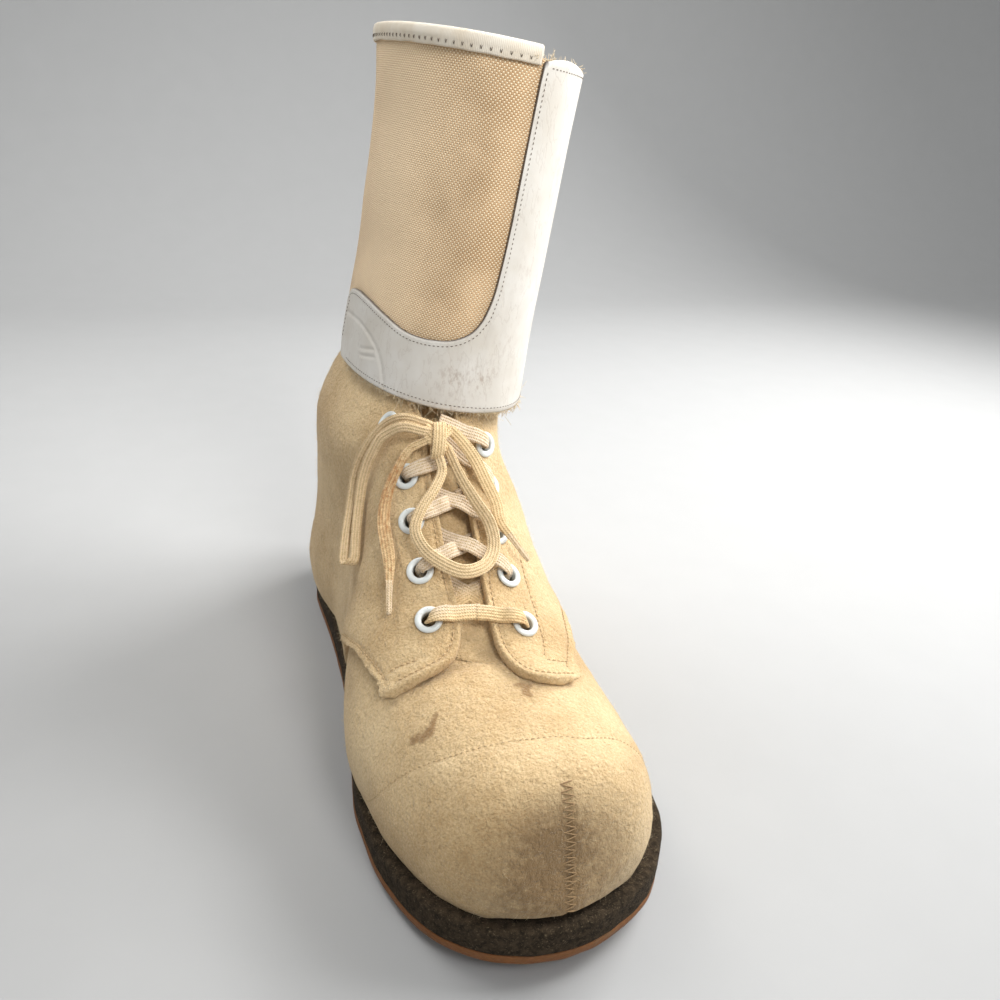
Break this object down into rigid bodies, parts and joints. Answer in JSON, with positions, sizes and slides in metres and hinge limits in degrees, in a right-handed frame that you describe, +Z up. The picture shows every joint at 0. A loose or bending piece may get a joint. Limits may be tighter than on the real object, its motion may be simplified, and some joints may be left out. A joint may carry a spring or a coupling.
{
  "type": "mukluk boot",
  "caption": "Cold-weather felt mukluk for the left foot, with laced quarters, a felt sole and a tall canvas and leather cuff.",
  "frame": {"origin": "on the flat underside of the outsole, half way along the sole and on its straight middle line", "axes": "-Y towards the toe, +X towards the outer (lateral) side of the left foot, +Z up through the cuff"},
  "size_m": [0.124, 0.3173, 0.3061],
  "materials": {
    "cream_felt": "thick soft wool felt, worn and dusty",
    "flecked_felt": "hard grey-brown felt with light flecks",
    "insole_felt": "plain felt",
    "amber_rubber": "thin translucent amber crepe",
    "cream_canvas": "coarse cotton canvas",
    "white_leather": "off-white split leather, scuffed",
    "cotton_tape": "cotton tape",
    "black_steel": "black lacquered steel",
    "enamelled_steel": "grey-white enamel, chipped",
    "braided_cotton": "flat braided cotton, stained"
  },
  "bodies": {
    "root": {"outsole": "amber_rubber", "midsole": "flecked_felt", "insole": "insole_felt", "upper": "cream_felt", "tongue": "cream_felt", "quarter_medial": "cream_felt", "quarter_lateral": "cream_felt", "cuff_canvas": "cream_canvas", "cuff_leather": "white_leather", "cuff_binding": "cotton_tape", "strap_upper": "white_leather", "strap_lower": "white_leather", "buckle_upper": "black_steel", "buckle_lower": "black_steel", "lace_crossings": "braided_cotton", "lace_knot": "braided_cotton", "lace_loop_medial": "braided_cotton", "lace_loop_front": "braided_cotton", "lace_end_medial": "braided_cotton", "lace_end_lateral": "braided_cotton", "eyelet_medial_1": "enamelled_steel", "eyelet_medial_2": "enamelled_steel", "eyelet_medial_3": "enamelled_steel", "eyelet_medial_4": "enamelled_steel", "eyelet_medial_5": "enamelled_steel", "eyelet_lateral_1": "enamelled_steel", "eyelet_lateral_2": "enamelled_steel", "eyelet_lateral_3": "enamelled_steel", "eyelet_lateral_4": "enamelled_steel", "eyelet_lateral_5": "enamelled_steel"}
  },
  "joints": []
}
